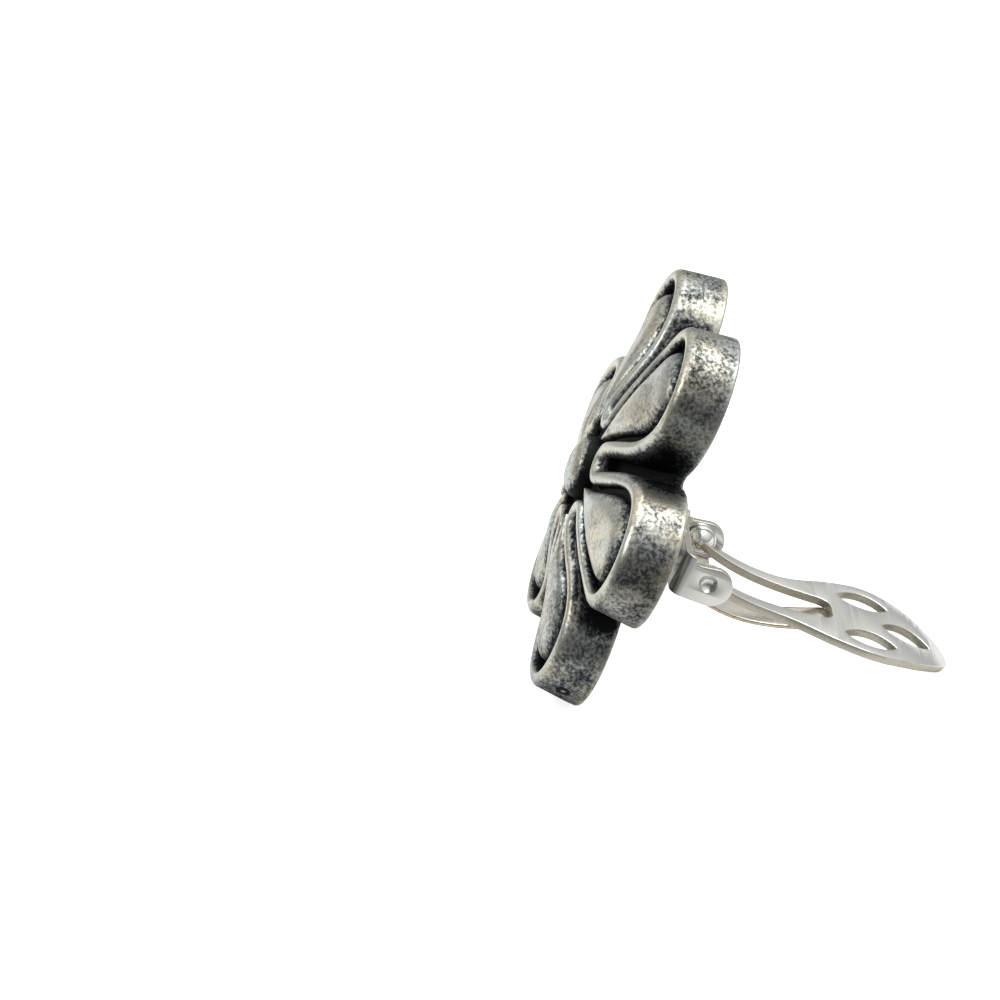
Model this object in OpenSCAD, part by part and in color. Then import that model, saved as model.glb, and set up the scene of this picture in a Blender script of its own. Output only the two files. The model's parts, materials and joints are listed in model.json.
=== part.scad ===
// Clip on earring: a six-petalled flower with a hinged leaf-shaped clip on its back.
// The flower leans back on its two lower petals and on the tip of the open clip.
// All sizes are in millimetres and all angles in degrees.

/* [Flower] */
// Distance from the flower's centre to the middle of a petal's round lobe
lobe_reach = 10.6; // [10:0.1:12]
// Radius of the rim's centreline round a lobe
lobe_r = 3.78; // [3.4:0.02:3.9]
// Radius of the flank that leads from a lobe into the slot beside it
flank_r = 6.6; // [6.2:0.1:8]
// Width of the raised rim of a petal
rim_w = 1.05; // [0.8:0.05:1.2]
// Distance from the middle of a slot to the rim's centreline beside it
rim_side = 1.05; // [0.95:0.05:1.2]
// Distance from the flower's centre to the bend of the rim at a slot's inner end
bend_reach = 4.6; // [4.4:0.1:5]
// Height of the rim's crest above the flat back at a petal's tip
rim_h = 3.45; // [3:0.05:4]
// Height that the crest would reach at the flower's centre
peak_h = 5.1; // [4.6:0.05:6]
// Distance from the centre where the crest has fallen by about two thirds
face_w = 8.4; // [7.5:0.1:9]
// How abruptly the crest falls there
face_power = 3.9; // [2:0.1:4.5]
// How far the side walls spread between the crest and the back
draft = 0.34; // [0.2:0.02:0.4]
// Distance from the flower's centre to the edge of the web between two petals
web_reach = 9.1; // [8.4:0.1:9.6]
// Thickness of the web at its edge
web_t = 0.7; // [0.4:0.05:1.2]
// How far the web rises from its edge to the slot's inner end
web_rise = 3.1; // [2:0.1:3.6]

/* [Petal filling] */
// Depth of the groove inside the rim
groove_d = 0.8; // [0.4:0.05:1]
// Width of the groove at a petal's round end
groove_w = 0.79; // [0.5:0.01:0.9]
// Height of the pillow above the groove's floor where it is widest
pillow_h = 1.25; // [0.8:0.05:1.6]
// Distance from the flower's centre to the pillow's pointed end
pillow_tip = 3.3; // [3.2:0.05:3.6]

/* [Button] */
// Radius of the round button in the middle
button_r = 2.2; // [1.8:0.05:2.4]
// Height of the button's top above the flat back
button_h = 5.9; // [5.7:0.05:6.5]

/* [Bracket] */
// Distance from the flower's centre down to the hinge's axis
hinge_drop = 3.25; // [2.8:0.05:3.6]
// Distance from the flower's flat back to the hinge's axis
hinge_back = 5.4; // [5.3:0.05:6.5]
// Distance between the inner faces of the two ears
ear_gap = 6.7; // [6.5:0.1:8]
// Thickness of the bracket's sheet
ear_t = 0.5; // [0.4:0.02:0.6]
// Radius of the round end of an ear
ear_r = 1.4; // [1.2:0.05:1.5]
// How far the middle of the round end lies below the hinge's axis
ear_drop = 0.15; // [0:0.05:0.2]
// How far the middle of the round end lies behind the hinge's axis
ear_set = 0.35; // [0.1:0.05:0.5]
// Outer radius of the bend between an ear and the plate
ear_bend = 0.8; // [0.6:0.05:0.9]
// Radius of the pivot that is pressed inwards out of an ear
pivot_r = 0.5; // [0.4:0.02:0.55]
// Radial clearance between a pivot and the eye that turns on it
pivot_play = 0.05; // [0.02:0.01:0.08]
// Distance from the flower's flat back to the bracket's plate
plate_back = 3.2; // [2.6:0.05:3.3]
// How far the plate reaches above the hinge's axis
plate_up = 1.5; // [1.2:0.1:1.8]
// Radius of the round post that carries the plate
post_r = 1.4; // [1:0.05:1.5]
// Width of the joint line between the flower's back and the post
seat_gap = 0.03; // [0.01:0.01:0.1]

/* [Paddle] */
// Length from the hinge's axis to the tip
paddle_len = 18.6; // [18.3:0.1:20]
// Width where the leaf is widest
paddle_w = 9.8; // [9.4:0.1:10.2]
// Thickness of the paddle's sheet
paddle_t = 0.6; // [0.5:0.02:0.7]
// How far the sheet waves up and down along its length
wave = 1.2; // [0.8:0.05:1.4]
// Radius of the eye at the end of an arm
eye_r = 1.05; // [0.9:0.05:1.1]
// Thickness of an eye
eye_t = 0.5; // [0.4:0.02:0.5]
// Clearance between an eye and its ear
eye_play = 0.12; // [0.08:0.01:0.2]
// Radius of the dome that closes an eye on its inner side
dome_r = 0.85; // [0.75:0.05:0.9]
// Height of that dome
dome_h = 0.55; // [0.5:0.05:0.65]
// Width of an arm at the hinge
arm_w = 1.05; // [0.8:0.05:1.2]
// How far the arms' outer edges draw in behind the hinge
arm_waist = 0.2; // [0.1:0.05:0.4]
// Width of the slot between the arms at its closed end
slot_w = 3; // [2.8:0.1:3.4]
// Radius of the slot's round corners at its closed end
slot_r = 1; // [0.7:0.05:1.3]
// Distance from the hinge's axis to the slot's closed end
slot_len = 9.7; // [9.3:0.1:9.8]
// Length of a leaf-shaped cut-out
leaf_len = 3.8; // [3.2:0.1:3.9]
// Width of a leaf-shaped cut-out
leaf_w = 2.2; // [1.8:0.1:2.4]
// Distance of the two side cut-outs from the middle
leaf_side = 2.8; // [2.6:0.05:2.9]
// Distance from the tip back to the middle of the side cut-outs
side_leaf_back = 6.4; // [6.3:0.1:6.5]
// Distance from the tip back to the middle of the end cut-out
end_leaf_back = 3.4; // [3.3:0.1:3.6]
// Width of the blunt tip
tip_w = 0.7; // [0.5:0.05:1]

/* [Spring] */
// Width of the spring's strip
spring_w = 2.9; // [2.2:0.1:3]
// Thickness of the spring's strip
spring_t = 0.3; // [0.2:0.02:0.35]
// How far the strip bows below the paddle's sheet
spring_bow = 2; // [1.7:0.05:2.1]
// Radius of the curl between the ears, at the middle of the strip
curl_r = 0.5; // [0.4:0.02:0.55]
// Length of strip that lies under the sheet past the slot's closed end
seat_len = 1.6; // [1.2:0.1:2]
// Width of the joint line between the spring and the sheet
spring_gap = 0.03; // [0.01:0.01:0.06]

/* [Hidden] */
$fn = 48;

petals = 6;
half_angle = 180 / petals;
silver = [0.55, 0.54, 0.52];
nickel = [0.82, 0.82, 0.78];
bronze = [0.78, 0.56, 0.36];

// A point's coordinates are rounded to this share of a millimetre, so that
// neighbouring petals share their edges exactly.
grain = 10000;

// Steps of the rim's centreline, from a petal's tip to the bend of the slot
lobe_steps = 8;
shoulder_steps = 2;
flank_steps = 3;
side_steps = 3;
bend_steps = 6;
web_col = lobe_steps + shoulder_steps;
side_col = web_col + flank_steps;
bend_col = side_col + side_steps;
neck_col = bend_col + 2;
last_col = bend_col + bend_steps;

// The rim's section, from its outer to its inner foot: share of half its width,
// share of the groove's depth below the crest
rim_section = [[1, 0.75], [0.8, 0.32], [0.4, 0.05], [-0.1, 0], [-0.65, 0.1], [-0.93, 0.5], [-1, 1]];
// The pillow's section: share of the way from its foot to its spine, share of its height
pillow_section = [[0.06, 0.5], [0.22, 0.78], [0.5, 0.94], [1, 1]];
// The button's section: share of its radius, share of its height above the groove's floor
button_section = [[0.97, 0.42], [0.8, 0.78], [0.5, 0.95], [0, 1]];
// The groove's width along a petal: last column of the stretch, share of the width at the tip
groove_share = [[0, 1], [lobe_steps, 0.8], [side_col, 0.6], [bend_col, 0.42]];

function along(a) = [cos(a), sin(a)];
function mix(a, b, t) = a + (b - a) * t;

gap_dir = along(-half_angle);
gap_nrm = along(90 - half_angle);
lobe_c = [lobe_reach, 0];
bend_c = bend_reach * gap_dir;
side_h = lobe_reach * sin(half_angle) - rim_side;
flank_up = flank_r - side_h;
flank_c = lobe_c + flank_up * gap_nrm - sqrt(pow(flank_r - lobe_r, 2) - pow(flank_up, 2)) * gap_dir;
join_angle = atan2(lobe_c.y - flank_c.y, lobe_c.x - flank_c.x);
straight_angle = -90 - half_angle;
straight_start = (flank_c + flank_r * along(straight_angle)) * gap_dir;
foot = rim_w / 2 + draft;
tip_r = lobe_reach + lobe_r + foot;

// The web's edge starts where the wall's foot is web_reach from the centre.
web_cos = (pow(norm(flank_c), 2) + pow(flank_r + foot, 2) - pow(web_reach, 2))
    / (2 * norm(flank_c) * (flank_r + foot));
web_angle = atan2(-flank_c.y, -flank_c.x) + acos(web_cos);

function flank_angle(i) = i <= web_col
    ? mix(join_angle, web_angle, (i - lobe_steps) / shoulder_steps)
    : mix(web_angle, straight_angle, (i - web_col) / flank_steps);

// A point of half a petal, beside column i of the rim's centreline and off outwards from it
function rim_point(i, off) =
    i <= lobe_steps ? lobe_c + (lobe_r + off) * along(join_angle * i / lobe_steps)
    : i <= side_col ? flank_c + (flank_r + off) * along(flank_angle(i))
    : i <= bend_col
        ? mix(straight_start, bend_reach, (i - side_col) / side_steps) * gap_dir
            + (rim_side - off) * gap_nrm
    : bend_c + (rim_side - off) * along(90 - half_angle + 90 * (i - bend_col) / bend_steps);

// The face is nearly level round the button, falls in a bell's curve and runs out level.
function crest(p) = rim_h + (peak_h - rim_h) * exp(-pow(norm([p.x, p.y]) / face_w, face_power));
function under_crest(p, drop) = [p.x, p.y, crest(p) - drop];
function wall_off(z) = rim_w / 2 + draft * (1 - z / rim_h);

// Height of the wall's lower end: the web's floor in a slot, and the web's edge elsewhere
slot_end = bend_reach - rim_side + rim_w / 2;
function web_z(p) = web_t + web_rise * max(0, (web_reach - norm(p)) / (web_reach - slot_end));
function wall_point(i) = let (z = web_z(rim_point(i, foot)), p = rim_point(i, wall_off(z)))
    [p.x, p.y, z];
function foot_point(i) = let (p = rim_point(i, foot)) [p.x, p.y, 0];
function on_gap(p) = let (s = [p.x, p.y] * gap_dir) [s * gap_dir.x, s * gap_dir.y, p.z];

function groove_at(i) = groove_w * lookup(i, groove_share);
pillow_start = rim_point(bend_col, -rim_w / 2 - groove_at(bend_col));
function pillow_foot(i) = i <= bend_col ? rim_point(i, -rim_w / 2 - groove_at(i))
    : mix(pillow_start, [pillow_tip, 0], (i - bend_col) / (neck_col - bend_col));
// The spine lies on the petal's axis and starts this far from the pillow's pointed end.
spine_start = 0.2;
function pillow_spine(i) = i == neck_col
    ? [pillow_tip + spine_start, 0]
    : [min(lobe_reach, pillow_foot(i).x), 0];
// The pillow is lowest at its pointed end, and has its full height over the lobe.
tip_share = 0.55;
pillow_wide = lobe_r - rim_w / 2 - groove_w * groove_share[1][1];
function wide_share(i) = i < lobe_steps ? 1 : min(1, abs(pillow_foot(i).y) / pillow_wide);
function pillow_top(i) = pillow_h * mix(tip_share, 1, wide_share(i));
function pillow_point(i, row) = let (p = mix(pillow_foot(i), pillow_spine(i), row[0]))
    under_crest(p, groove_d - pillow_top(i) * row[1]);

function button_foot(i) = button_r
    * along(-half_angle * (i - neck_col - 1) / (last_col - neck_col - 1));
function button_point(i, row) = let (p = button_foot(i), z = crest(p) - groove_d)
    [p.x * row[0], p.y * row[0], mix(z, button_h, row[1])];

// Rows of points over half a petal
all_cols = [0 : last_col];
pillow_cols = [0 : neck_col];
button_cols = [neck_col + 1 : last_col];
wall_row = [for (i = all_cols) wall_point(i)];
foot_row = [for (i = [0 : web_col]) foot_point(i)];
rim_rows = [for (s = rim_section) [for (i = all_cols)
    under_crest(rim_point(i, s[0] * rim_w / 2), s[1] * groove_d)]];
island_row = [for (i = all_cols)
    under_crest(i <= neck_col ? pillow_foot(i) : button_foot(i), groove_d)];
pillow_rows = concat([[for (i = pillow_cols) island_row[i]]],
    [for (s = pillow_section) [for (i = pillow_cols) pillow_point(i, s)]]);
button_rows = concat([[for (i = button_cols) island_row[i]]],
    [for (s = button_section) [for (i = button_cols) button_point(i, s)]]);
slot_row = [for (i = [web_col : last_col]) wall_row[i]];
// The web's edge is hollow: its middle lies this far inside its two ends.
web_inset = 0.25;
gap_row = [for (i = [0 : len(slot_row) - 1])
    on_gap(slot_row[i]) - (i == 0 ? web_inset : 0) * [gap_dir.x, gap_dir.y, 0]];
web_edge = [foot_row[web_col], [gap_row[0].x, gap_row[0].y, 0]];

function first(row, n) = [for (i = [0 : n]) row[i]];
function quad(a, b, c, d) = [[a, b, c], [a, c, d]];
function strip(a, b) = [for (i = [0 : len(a) - 2]) each quad(a[i], a[i + 1], b[i + 1], b[i])];
function strips(rows) = [for (k = [0 : len(rows) - 2]) each strip(rows[k], rows[k + 1])];
function floor_fan(row) = [for (i = [0 : len(row) - 2]) [[0, 0, 0], row[i + 1], row[i]]];

half_petal = concat(
    strip(foot_row, first(wall_row, web_col)),
    strips(concat([wall_row], rim_rows, [island_row])),
    strips(pillow_rows),
    strips(button_rows),
    strip(gap_row, slot_row),
    quad(web_edge[0], web_edge[1], gap_row[0], slot_row[0]),
    floor_fan(concat(foot_row, [web_edge[1]])));

function rounded(v) = round(v * grain) / grain;
function placed(p, k, side) = let (a = along(2 * half_angle * k), x = p.x, y = side * p.y)
    [rounded(x * a.x - y * a.y), rounded(x * a.y + y * a.x), rounded(p.z)];
function flower_faces() = [for (k = [0 : petals - 1], side = [1, -1], f = half_petal)
    let (a = placed(f[0], k, side), b = placed(f[1], k, side), c = placed(f[2], k, side))
    if (a != b && b != c && c != a) side > 0 ? [a, b, c] : [a, c, b]];

// The paddle's middle line in its own frame: distance from the hinge, height
function bezier(c, t) = c[0] * pow(1 - t, 3) + 3 * c[1] * t * pow(1 - t, 2)
    + 3 * c[2] * t * t * (1 - t) + c[3] * pow(t, 3);
wave_heights = [0, -1.98, 1, -1] * wave;
function sheet_y(d) = bezier(wave_heights, d / paddle_len);
function sheet_slope(d) = let (step = paddle_len / 2000)
    (sheet_y(d + step) - sheet_y(d - step)) / (2 * step);
function sheet_low(d) = sheet_y(d) - paddle_t / 2 * sqrt(1 + pow(sheet_slope(d), 2));
function sheet_high(d) = sheet_y(d) + paddle_t / 2 * sqrt(1 + pow(sheet_slope(d), 2));

// An arm's outer edge: share of the length, share of the waist that it draws in
arm_table = [[0, 0], [0.15, 0.8], [0.29, 1]];
// The leaf's outline: share of the length, share of half the width
leaf_table = [[0.36, 0.65], [0.425, 0.735], [0.51, 0.875], [0.61, 0.985], [0.67, 1], [0.73, 0.96],
    [0.83, 0.79], [0.9, 0.585], [0.95, 0.395], [0.975, 0.265], [0.992, 0.145]];
eye_out = ear_gap / 2 - eye_play;
slot_in = eye_out - arm_w;
leaf_pts = concat(
    [for (r = arm_table) [r[0] * paddle_len, eye_out - r[1] * arm_waist]],
    [for (r = leaf_table) [r[0] * paddle_len, r[1] * paddle_w / 2]],
    [[paddle_len, tip_w / 2]]);

// A smooth line through the points p, with n steps from each to the next
function spline(a, b, c, d, t) = 0.5 * (2 * b + (c - a) * t
    + (2 * a - 5 * b + 4 * c - d) * t * t + (3 * b - a - 3 * c + d) * pow(t, 3));
function spline_at(p, i, t) = spline(p[max(0, i - 1)], p[i], p[i + 1], p[min(len(p) - 1, i + 2)], t);
function smooth(p, n) = concat([for (i = [0 : len(p) - 2], j = [0 : n - 1]) spline_at(p, i, j / n)],
    [p[len(p) - 1]]);
function flipped(p) = [for (i = [len(p) - 1 : -1 : 0]) p[i]];

// A ribbon of thickness t round a line of points
function normal_at(p, i) = let (d = p[min(i + 1, len(p) - 1)] - p[max(i - 1, 0)]) [-d.y, d.x] / norm(d);
function ribbon(p, t) = concat([for (i = [0 : len(p) - 1]) p[i] + normal_at(p, i) * t / 2],
    flipped([for (i = [0 : len(p) - 1]) p[i] - normal_at(p, i) * t / 2]));

// The rest on the ground: the lower petals' back edges and the paddle's tip are level.
ground_foot = -(lobe_reach * cos(half_angle) + lobe_r + foot);
tip_low = [sheet_low(paddle_len) - hinge_drop, -hinge_back - paddle_len];
tip_high = [sheet_high(paddle_len) - hinge_drop, -hinge_back - paddle_len];
lean = atan((tip_low.x - ground_foot) / -tip_low.y);
lift = -ground_foot * cos(lean);
function depth_of(y, z) = y * sin(lean) - z * cos(lean);
all_faces = flower_faces();
front_most = min([for (f = all_faces, p = f) depth_of(p.y, p.z)]);
back_most = depth_of(tip_high.x, tip_high.y);
shift = -(front_most + back_most) / 2;

// From the flower's own frame, with its back on the XY plane and its face up, to the ground
module standing() {
    multmatrix([[1, 0, 0, 0],
                [0, sin(lean), -cos(lean), shift],
                [0, cos(lean), sin(lean), lift],
                [0, 0, 0, 1]])
        children();
}

// From the flower's frame to the hinge's axis
module at_hinge() {
    standing()
        translate([0, -hinge_drop, -hinge_back])
            children();
}

// A flat shape drawn in Y and Z, given the width w across X
module across(w) {
    translate([-w / 2, 0, 0])
        rotate([90, 0, 90])
            linear_extrude(height = w)
                children();
}

// A flat shape drawn in X and distance from the hinge, cut through the sheet
module through(h) {
    translate([0, -h / 2, 0])
        rotate([-90, 0, 0])
            linear_extrude(height = h)
                children();
}

module flower() {
    points = [for (f = all_faces, p = f) p];
    color(silver)
        standing()
            polyhedron(points = points,
                faces = [for (i = [0 : len(all_faces) - 1]) [3 * i, 3 * i + 1, 3 * i + 2]]);
}

ear_out = ear_gap / 2 + ear_t;
plate_front = hinge_back - plate_back;
plate_rear = plate_front - ear_t;
// The round pit outside an ear, where the pivot was pressed in
pit_r = 1.3 * pivot_r;
pit_d = 0.35;
// How far a pivot stands out of its eye, and how much of the ear's thickness holds it
pivot_out = 0.1;
pivot_root = ear_t / 4;
pivot_len = eye_play + eye_t + pivot_out;
// Width of an ear's upper edge where it meets the plate, as a share of its round end
ear_taper = 0.6;
// Depth of the skirt below the plate that rounds into the ears
skirt = 0.4;
// How far a cutting shape runs past what it cuts
past = 1;

// The bent sheet's outer or inner line, drawn in X and depth behind the plate's front
module channel(half_w, top, r) {
    depth = plate_front + ear_set + ear_r + past;
    translate([-half_w, top + r])
        square([2 * half_w, depth]);
    translate([-half_w + r, top])
        square([2 * (half_w - r), r + past]);
    for (side = [-1, 1])
        translate([side * (half_w - r), top + r])
            circle(r = r);
}

// The bracket seen from the side, drawn in height and depth
module bracket_side() {
    low = -ear_r - ear_drop;
    ear_edge = [[low, -ear_set], [low, plate_front],
        [ear_taper * ear_r, plate_front], [ear_r - ear_drop, -ear_set]];
    translate([-ear_drop, -ear_set])
        circle(r = ear_r);
    polygon(ear_edge);
    translate([low, plate_rear - skirt])
        square([plate_up - low, ear_t + skirt]);
}

module bracket_sheet() {
    tall = 2 * (ear_r + plate_up + past);
    intersection() {
        translate([0, -tall / 2, plate_front])
            rotate([-90, 0, 0])
                linear_extrude(height = tall)
                    difference() {
                        channel(ear_out, 0, ear_bend);
                        channel(ear_gap / 2, ear_t, ear_bend - ear_t);
                    }
        across(2 * (ear_out + past))
            bracket_side();
    }
}

module pit() {
    translate([ear_out + pit_r - pit_d, 0, 0])
        sphere(r = pit_r);
}

module pivot() {
    translate([ear_gap / 2 - pivot_len, 0, 0])
        rotate([0, 90, 0])
            cylinder(r = pivot_r, h = pivot_len + pivot_root);
}

module clip_base() {
    color(nickel)
        at_hinge() {
            difference() {
                bracket_sheet();
                pit();
                mirror([1, 0, 0])
                    pit();
            }
            pivot();
            mirror([1, 0, 0])
                pivot();
            translate([0, 0, plate_rear + ear_t / 2])
                cylinder(r = post_r, h = plate_back + ear_t / 2 - seat_gap);
        }
}

function on_side(p, side) = [for (q = p) [side * q.y, q.x]];

module leaf_outline() {
    edge = smooth(leaf_pts, 4);
    polygon(concat(on_side(edge, 1), flipped(on_side(edge, -1))));
}

// A pointed cut-out between two arcs, its middle at x and the distance d from the hinge
module cut_leaf(x, d) {
    bow = (pow(leaf_len / 2, 2) + pow(leaf_w / 2, 2)) / leaf_w;
    translate([x, d])
        intersection() {
            translate([bow - leaf_w / 2, 0])
                circle(r = bow);
            translate([leaf_w / 2 - bow, 0])
                circle(r = bow);
        }
}

module slot_outline() {
    corner_x = slot_w / 2 - slot_r;
    for (side = [-1, 1])
        translate([side * corner_x, slot_len - slot_r])
            circle(r = slot_r);
    polygon([[-slot_in, -past], [slot_in, -past],
        [slot_w / 2, slot_len - slot_r], [corner_x, slot_len],
        [-corner_x, slot_len], [-slot_w / 2, slot_len - slot_r]]);
}

sheet_steps = 24;
sheet_line = [for (i = [0 : sheet_steps + 1])
    let (d = i * paddle_len / sheet_steps)
        [sheet_y(d), -d]];

module paddle_sheet() {
    intersection() {
        across(paddle_w + 2 * past)
            polygon(ribbon(sheet_line, paddle_t));
        through(4 * (wave + paddle_t))
            difference() {
                leaf_outline();
                slot_outline();
                cut_leaf(leaf_side, paddle_len - side_leaf_back);
                cut_leaf(-leaf_side, paddle_len - side_leaf_back);
                cut_leaf(0, paddle_len - end_leaf_back);
            }
    }
}

eye_in = eye_out - eye_t;
// Radius of the ball that the dome is part of
ball_r = (pow(dome_r, 2) + pow(dome_h, 2)) / (2 * dome_h);
// Clearance between a pivot's end and the bottom of its bore
bore_play = 0.1;
bore_len = eye_t + pivot_out + bore_play;

// The eye on the side of +X: a disc, and the dome that closes it
module eye() {
    translate([eye_out - eye_t / 2, 0, 0])
        across(eye_t)
            circle(r = eye_r);
    intersection() {
        translate([eye_in - dome_h + ball_r, 0, 0])
            sphere(r = ball_r);
        translate([eye_in - dome_h / 2 + eye_t / 4, 0, 0])
            cube([dome_h + eye_t / 2, 2 * eye_r, 2 * eye_r], center = true);
    }
}

module bore() {
    translate([eye_out - bore_len, 0, 0])
        rotate([0, 90, 0])
            cylinder(r = pivot_r + pivot_play, h = bore_len + past);
}

module clip_paddle() {
    color(nickel)
        at_hinge()
            difference() {
                union() {
                    paddle_sheet();
                    eye();
                    mirror([1, 0, 0])
                        eye();
                }
                bore();
                mirror([1, 0, 0])
                    bore();
            }
}

// The spring's middle line in the hinge's frame: height, distance towards the flower.
// It runs over the curl, round its front, along the bow and under the sheet.
spring_under = paddle_t / 2 + spring_t / 2 + spring_gap;
// Clearance between the curl and the plate in front of it
curl_clear = 0.2;
// How far the curl's top lies below the hinge's axis
curl_drop = 0.6;
// Length of the strip's straight end over the curl
curl_lap = 1.5;
// Where the curl ends in the bow, as an angle from the way to the flower
curl_end = -62;
curl_step = 19;
curl_c = [-curl_drop - curl_r, plate_rear - curl_clear - spring_t / 2 - curl_r];
bow_start = curl_c + curl_r * [sin(curl_end), cos(curl_end)];
// The bow meets the sheet this far in front of the slot's closed end.
bow_back = 0.4;
bow_end = [sheet_y(slot_len - bow_back) - spring_under, bow_back - slot_len];
// How far the bow keeps the direction of each of its ends
bow_pull = 1.65 * spring_bow;
bow_rise = [0.62, -1.4];
bow_line = [bow_start, bow_start + bow_pull * [-cos(curl_end), sin(curl_end)],
    bow_end - bow_pull * bow_rise, bow_end];
bow_steps = 14;
spring_line = concat(
    [[curl_c.x + curl_r, curl_c.y - curl_lap]],
    [for (a = [90 : -curl_step : curl_end + 1]) curl_c + curl_r * [sin(a), cos(a)]],
    [for (i = [0 : bow_steps]) bezier(bow_line, i / bow_steps)],
    [for (s = [0.5, 1]) let (d = slot_len - bow_back + s * seat_len) [sheet_y(d) - spring_under, -d]]);

module spring_tongue() {
    color(bronze)
        at_hinge()
            across(spring_w)
                polygon(ribbon(spring_line, spring_t));
}

flower();
clip_base();
clip_paddle();
spring_tongue();
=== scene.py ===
# %% [markdown]
# # A clip on earring: a cast flower with a stamped clip
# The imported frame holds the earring's real construction: the flower, the bracket on its back, the
# leaf that swings on the bracket's pivots, and the spring under the leaf. This lesson dresses it.
# Every piece is modelled in millimetres in the flower's own frame, where the flat back lies on the
# XY plane and the face looks up, because that is how a caster would draw it. One matrix then
# stands the piece on the ground, in metres, where the frame says.

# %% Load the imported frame
import json
import math

import bmesh
import bpy
import numpy as np
from mathutils import Matrix, Vector


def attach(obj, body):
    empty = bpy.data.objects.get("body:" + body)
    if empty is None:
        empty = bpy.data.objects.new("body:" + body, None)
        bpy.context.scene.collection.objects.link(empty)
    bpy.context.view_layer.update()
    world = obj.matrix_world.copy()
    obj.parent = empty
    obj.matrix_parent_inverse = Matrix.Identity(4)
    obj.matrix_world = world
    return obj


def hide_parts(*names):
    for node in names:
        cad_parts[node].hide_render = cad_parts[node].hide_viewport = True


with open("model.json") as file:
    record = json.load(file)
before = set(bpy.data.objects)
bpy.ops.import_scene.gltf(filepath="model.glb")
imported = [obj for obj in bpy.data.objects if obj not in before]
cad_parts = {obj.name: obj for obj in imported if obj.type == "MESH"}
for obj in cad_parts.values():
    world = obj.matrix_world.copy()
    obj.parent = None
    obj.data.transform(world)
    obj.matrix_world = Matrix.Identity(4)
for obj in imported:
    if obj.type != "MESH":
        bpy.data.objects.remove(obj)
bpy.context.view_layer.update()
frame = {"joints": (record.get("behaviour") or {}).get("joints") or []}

# %% [markdown]
# ## The flower's driving sizes
# A petal is drawn by the centreline of its raised rim: a round lobe, a flank of larger radius, a
# straight side along the slot, and a tight bend that leads into the next petal. Twelve half petals
# make the flower, so half a petal is all that is ever described. The sizes repeat those of the
# construction, because the finer surface has to lie where the solid is.

# %% Sizes of the flower, in millimetres
mm = 0.001
petals = 6
half_angle = 180 / petals
lobe_reach, lobe_r, flank_r = 10.6, 3.78, 6.6
rim_w, rim_side, rim_h = 1.05, 1.05, 3.45
bend_reach = 4.6
peak_h, face_w, face_power = 5.1, 8.4, 3.9
draft = 0.34
web_reach, web_t, web_rise, web_inset = 9.1, 0.7, 3.1, 0.25
groove_d, groove_w = 0.8, 0.79
pillow_h, pillow_tip, spine_start, tip_share = 1.25, 3.3, 0.2, 0.55
button_r, button_h = 2.2, 5.9
foot = rim_w / 2 + draft
print("flower is", round(2 * (lobe_reach + lobe_r + foot), 1), "mm across")

# %% [markdown]
# ## From the flower's frame to the ground
# Set down unworn with its clip open, the earring leans back on its two lower petals and on the
# clip's tip. The angle of that lean could be typed in, but then it would drift from the frame. It
# is worked out instead from the one point that both know: the hinge's axis.

# %% The matrix that stands a piece up
hinge_drop, hinge_back = 3.25, 5.4
hinge = Vector(frame["joints"][0]["pos_m"]) / mm
half_turn = math.radians(half_angle)
ground_reach = lobe_reach * math.cos(half_turn) + lobe_r + foot
above_ground = ground_reach - hinge_drop
lean = math.acos(hinge.z / math.hypot(above_ground, hinge_back)) - math.atan2(hinge_back, above_ground)
lift = ground_reach * math.cos(lean)
shift = hinge.y + hinge_drop * math.sin(lean) - hinge_back * math.cos(lean)
stand = Matrix.Scale(mm, 4) @ Matrix((
    (1, 0, 0, 0),
    (0, math.sin(lean), -math.cos(lean), shift),
    (0, math.cos(lean), math.sin(lean), lift),
    (0, 0, 0, 1)))
at_hinge = Matrix.Translation((0, -hinge_drop, -hinge_back))
print("the flower leans back by", round(math.degrees(lean), 2), "degrees")

# %% [markdown]
# ## The rim's centreline
# A station number runs along half a petal, from 0 at its tip to 22 on the middle line of the slot.
# Each stretch between two named stations is one arc or one straight line. A fractional station is
# allowed, so the surface can be sampled as finely as the finish needs.

# %% Stations and the rim's centreline
LOBE, WEB, FLANK, SIDE, NECK, GAP = 8, 10, 13, 16, 18, 22


def along(degrees):
    """The direction at that angle from the X axis."""
    return np.array([math.cos(math.radians(degrees)), math.sin(math.radians(degrees))])


def mix(a, b, t):
    return a + (b - a) * t


def soft_step(t):
    """0 below 0, 1 above 1, and a smooth rise between."""
    t = min(max(t, 0.0), 1.0)
    return t * t * (3 - 2 * t)


gap_dir, gap_nrm = along(-half_angle), along(90 - half_angle)
lobe_c, bend_c = np.array([lobe_reach, 0.0]), bend_reach * gap_dir
flank_up = flank_r - (lobe_reach * math.sin(half_turn) - rim_side)
flank_c = lobe_c + flank_up * gap_nrm - math.sqrt((flank_r - lobe_r) ** 2 - flank_up ** 2) * gap_dir
join_angle = math.degrees(math.atan2(lobe_c[1] - flank_c[1], lobe_c[0] - flank_c[0]))
straight_angle = -90 - half_angle
straight_start = (flank_c + flank_r * along(straight_angle)) @ gap_dir
flank_far = math.hypot(*flank_c)
web_cos = (flank_far ** 2 + (flank_r + foot) ** 2 - web_reach ** 2) / (2 * flank_far * (flank_r + foot))
web_angle = math.degrees(math.atan2(-flank_c[1], -flank_c[0]) + math.acos(web_cos))


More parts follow.
